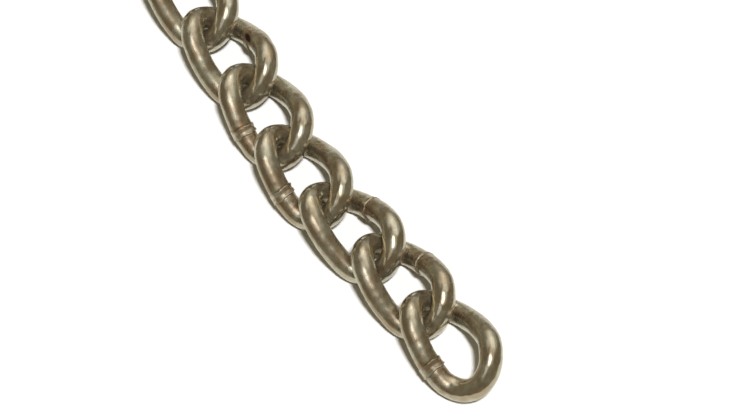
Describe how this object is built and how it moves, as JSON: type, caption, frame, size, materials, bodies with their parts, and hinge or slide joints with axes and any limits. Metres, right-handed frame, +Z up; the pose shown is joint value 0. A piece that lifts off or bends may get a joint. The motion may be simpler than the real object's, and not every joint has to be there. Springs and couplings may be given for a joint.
{
  "type": "welded curb chain",
  "caption": "Straight run of welded curb chain in round bare steel bar: oval links, each twisted so that the chain lies flat, loosely hooked in each other.",
  "frame": {"origin": "on the surface that the chain lies on, under the middle of its bounding box", "axes": "+X along the chain towards its free end link, link_01; +Z up from the surface that it lies on"},
  "size_m": [1.013, 0.0442, 0.0229],
  "materials": {
    "steel": "bare steel, burnished by tumbling and oiled, browned at the welds"
  },
  "bodies": {
    "link_01": {"link_01": "steel"},
    "link_02": {"link_02": "steel"},
    "link_03": {"link_03": "steel"},
    "link_04": {"link_04": "steel"},
    "link_05": {"link_05": "steel"},
    "link_06": {"link_06": "steel"},
    "link_07": {"link_07": "steel"},
    "link_08": {"link_08": "steel"},
    "link_09": {"link_09": "steel"},
    "link_10": {"link_10": "steel"},
    "link_11": {"link_11": "steel"},
    "link_12": {"link_12": "steel"},
    "link_13": {"link_13": "steel"},
    "link_14": {"link_14": "steel"},
    "link_15": {"link_15": "steel"},
    "link_16": {"link_16": "steel"},
    "link_17": {"link_17": "steel"},
    "link_18": {"link_18": "steel"},
    "link_19": {"link_19": "steel"},
    "link_20": {"link_20": "steel"},
    "link_21": {"link_21": "steel"},
    "link_22": {"link_22": "steel"},
    "link_23": {"link_23": "steel"},
    "link_24": {"link_24": "steel"},
    "link_25": {"link_25": "steel"},
    "link_26": {"link_26": "steel"},
    "link_27": {"link_27": "steel"}
  },
  "joints": [
    {"name": "swing_02", "type": "hinge", "parent": "link_01", "child": "link_02", "pos_m": [0.46512, 0.00337, 0.01144], "axis": [0.0085, 0.6087, 0.7934], "range_deg": [-35, 35]},
    {"name": "swing_03", "type": "hinge", "parent": "link_02", "child": "link_03", "pos_m": [0.41879, 0.00014, 0.01144], "axis": [0.07, -0.6047, 0.7934], "range_deg": [-35, 35]},
    {"name": "swing_04", "type": "hinge", "parent": "link_03", "child": "link_04", "pos_m": [0.39355, -0.00279, 0.01144], "axis": [0.07, -0.6047, -0.7934], "range_deg": [-35, 35]},
    {"name": "swing_05", "type": "hinge", "parent": "link_04", "child": "link_05", "pos_m": [0.34693, -0.0018, 0.01144], "axis": [0.0552, 0.6063, -0.7934], "range_deg": [-35, 35]},
    {"name": "swing_06", "type": "hinge", "parent": "link_05", "child": "link_06", "pos_m": [0.32161, 0.0005, 0.01144], "axis": [0.0552, 0.6063, 0.7934], "range_deg": [-35, 35]},
    {"name": "swing_07", "type": "hinge", "parent": "link_06", "child": "link_07", "pos_m": [0.27475, 0.00382, 0.01144], "axis": [0.0011, -0.6088, 0.7934], "range_deg": [-35, 35]},
    {"name": "swing_08", "type": "hinge", "parent": "link_07", "child": "link_08", "pos_m": [0.24933, 0.00377, 0.01144], "axis": [0.0011, -0.6088, -0.7934], "range_deg": [-35, 35]},
    {"name": "swing_09", "type": "hinge", "parent": "link_08", "child": "link_09", "pos_m": [0.20072, 0.00358, 0.01144], "axis": [-0.0187, 0.6085, -0.7934], "range_deg": [-35, 35]},
    {"name": "swing_10", "type": "hinge", "parent": "link_09", "child": "link_10", "pos_m": [0.17531, 0.0028, 0.01144], "axis": [-0.0187, 0.6085, 0.7934], "range_deg": [-35, 35]},
    {"name": "swing_11", "type": "hinge", "parent": "link_10", "child": "link_11", "pos_m": [0.12676, 0.00048, 0.01144], "axis": [0.0303, -0.608, 0.7934], "range_deg": [-35, 35]},
    {"name": "swing_12", "type": "hinge", "parent": "link_11", "child": "link_12", "pos_m": [0.10137, -0.00078, 0.01144], "axis": [0.0303, -0.608, -0.7934], "range_deg": [-35, 35]},
    {"name": "swing_13", "type": "hinge", "parent": "link_12", "child": "link_13", "pos_m": [0.05278, -0.0022, 0.01144], "axis": [0, 0.6088, -0.7934], "range_deg": [-35, 35]},
    {"name": "swing_14", "type": "hinge", "parent": "link_13", "child": "link_14", "pos_m": [0.02737, -0.0022, 0.01144], "axis": [0, 0.6088, 0.7934], "range_deg": [-35, 35]},
    {"name": "swing_15", "type": "hinge", "parent": "link_14", "child": "link_15", "pos_m": [-0.02123, -0.00076, 0.01144], "axis": [-0.0303, -0.608, 0.7934], "range_deg": [-35, 35]},
    {"name": "swing_16", "type": "hinge", "parent": "link_15", "child": "link_16", "pos_m": [-0.04661, 0.0005, 0.01144], "axis": [-0.0303, -0.608, -0.7934], "range_deg": [-35, 35]},
    {"name": "swing_17", "type": "hinge", "parent": "link_16", "child": "link_17", "pos_m": [-0.09517, 0.00281, 0.01144], "axis": [0.0187, 0.6085, -0.7934], "range_deg": [-35, 35]},
    {"name": "swing_18", "type": "hinge", "parent": "link_17", "child": "link_18", "pos_m": [-0.12057, 0.00359, 0.01144], "axis": [0.0187, 0.6085, 0.7934], "range_deg": [-35, 35]},
    {"name": "swing_19", "type": "hinge", "parent": "link_18", "child": "link_19", "pos_m": [-0.16918, 0.00358, 0.01144], "axis": [0.0187, -0.6085, 0.7934], "range_deg": [-35, 35]},
    {"name": "swing_20", "type": "hinge", "parent": "link_19", "child": "link_20", "pos_m": [-0.19459, 0.0028, 0.01144], "axis": [0.0187, -0.6085, -0.7934], "range_deg": [-35, 35]},
    {"name": "swing_21", "type": "hinge", "parent": "link_20", "child": "link_21", "pos_m": [-0.24314, 0.00048, 0.01144], "axis": [-0.0303, 0.608, -0.7934], "range_deg": [-35, 35]},
    {"name": "swing_22", "type": "hinge", "parent": "link_21", "child": "link_22", "pos_m": [-0.26853, -0.00078, 0.01144], "axis": [-0.0303, 0.608, 0.7934], "range_deg": [-35, 35]},
    {"name": "swing_23", "type": "hinge", "parent": "link_22", "child": "link_23", "pos_m": [-0.31712, -0.0022, 0.01144], "axis": [0, -0.6088, 0.7934], "range_deg": [-35, 35]},
    {"name": "swing_24", "type": "hinge", "parent": "link_23", "child": "link_24", "pos_m": [-0.34253, -0.0022, 0.01144], "axis": [0, -0.6088, -0.7934], "range_deg": [-35, 35]},
    {"name": "swing_25", "type": "hinge", "parent": "link_24", "child": "link_25", "pos_m": [-0.39113, -0.00076, 0.01144], "axis": [0.0303, 0.608, -0.7934], "range_deg": [-35, 35]},
    {"name": "swing_26", "type": "hinge", "parent": "link_25", "child": "link_26", "pos_m": [-0.41651, 0.0005, 0.01144], "axis": [0.0303, 0.608, 0.7934], "range_deg": [-35, 35]},
    {"name": "swing_27", "type": "hinge", "parent": "link_26", "child": "link_27", "pos_m": [-0.46507, 0.00281, 0.01144], "axis": [-0.0187, -0.6085, 0.7934], "range_deg": [-35, 35]}
  ]
}
